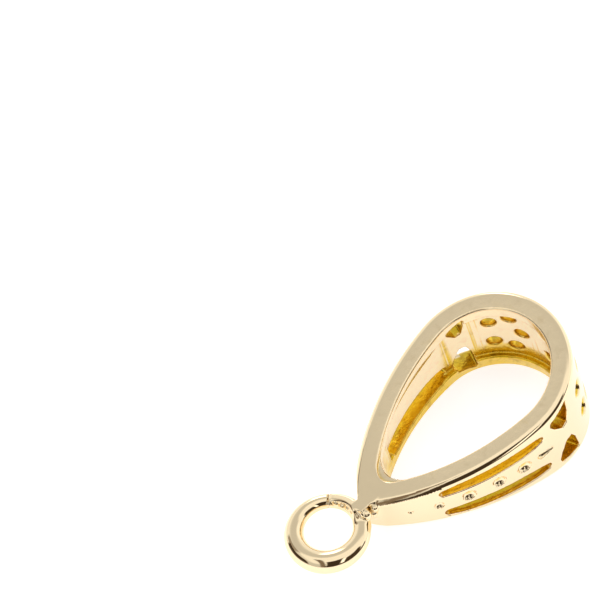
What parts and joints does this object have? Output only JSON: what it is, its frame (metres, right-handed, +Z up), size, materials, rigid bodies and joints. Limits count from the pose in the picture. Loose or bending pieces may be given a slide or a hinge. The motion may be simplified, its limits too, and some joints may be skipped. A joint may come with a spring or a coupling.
{
  "type": "pendant bail",
  "caption": "Pierced teardrop pendant bail lying on its side: a wide band loop for a chain, tapering to a small fixed wire ring for the pendant.",
  "frame": {"origin": "centre of the bounding box at the level of the surface that the bail lies on", "axes": "+X from the small ring towards the round crown, +Y across the teardrop towards the leg that the ring sits nearer to, +Z up, with the lower side rim flat on z = 0"},
  "size_m": [0.0194, 0.0096, 0.0066],
  "materials": {
    "gold": "polished pale gold plating over a brass casting, warmer inside the loop"
  },
  "bodies": {
    "root": {"bail": "gold"}
  },
  "joints": []
}
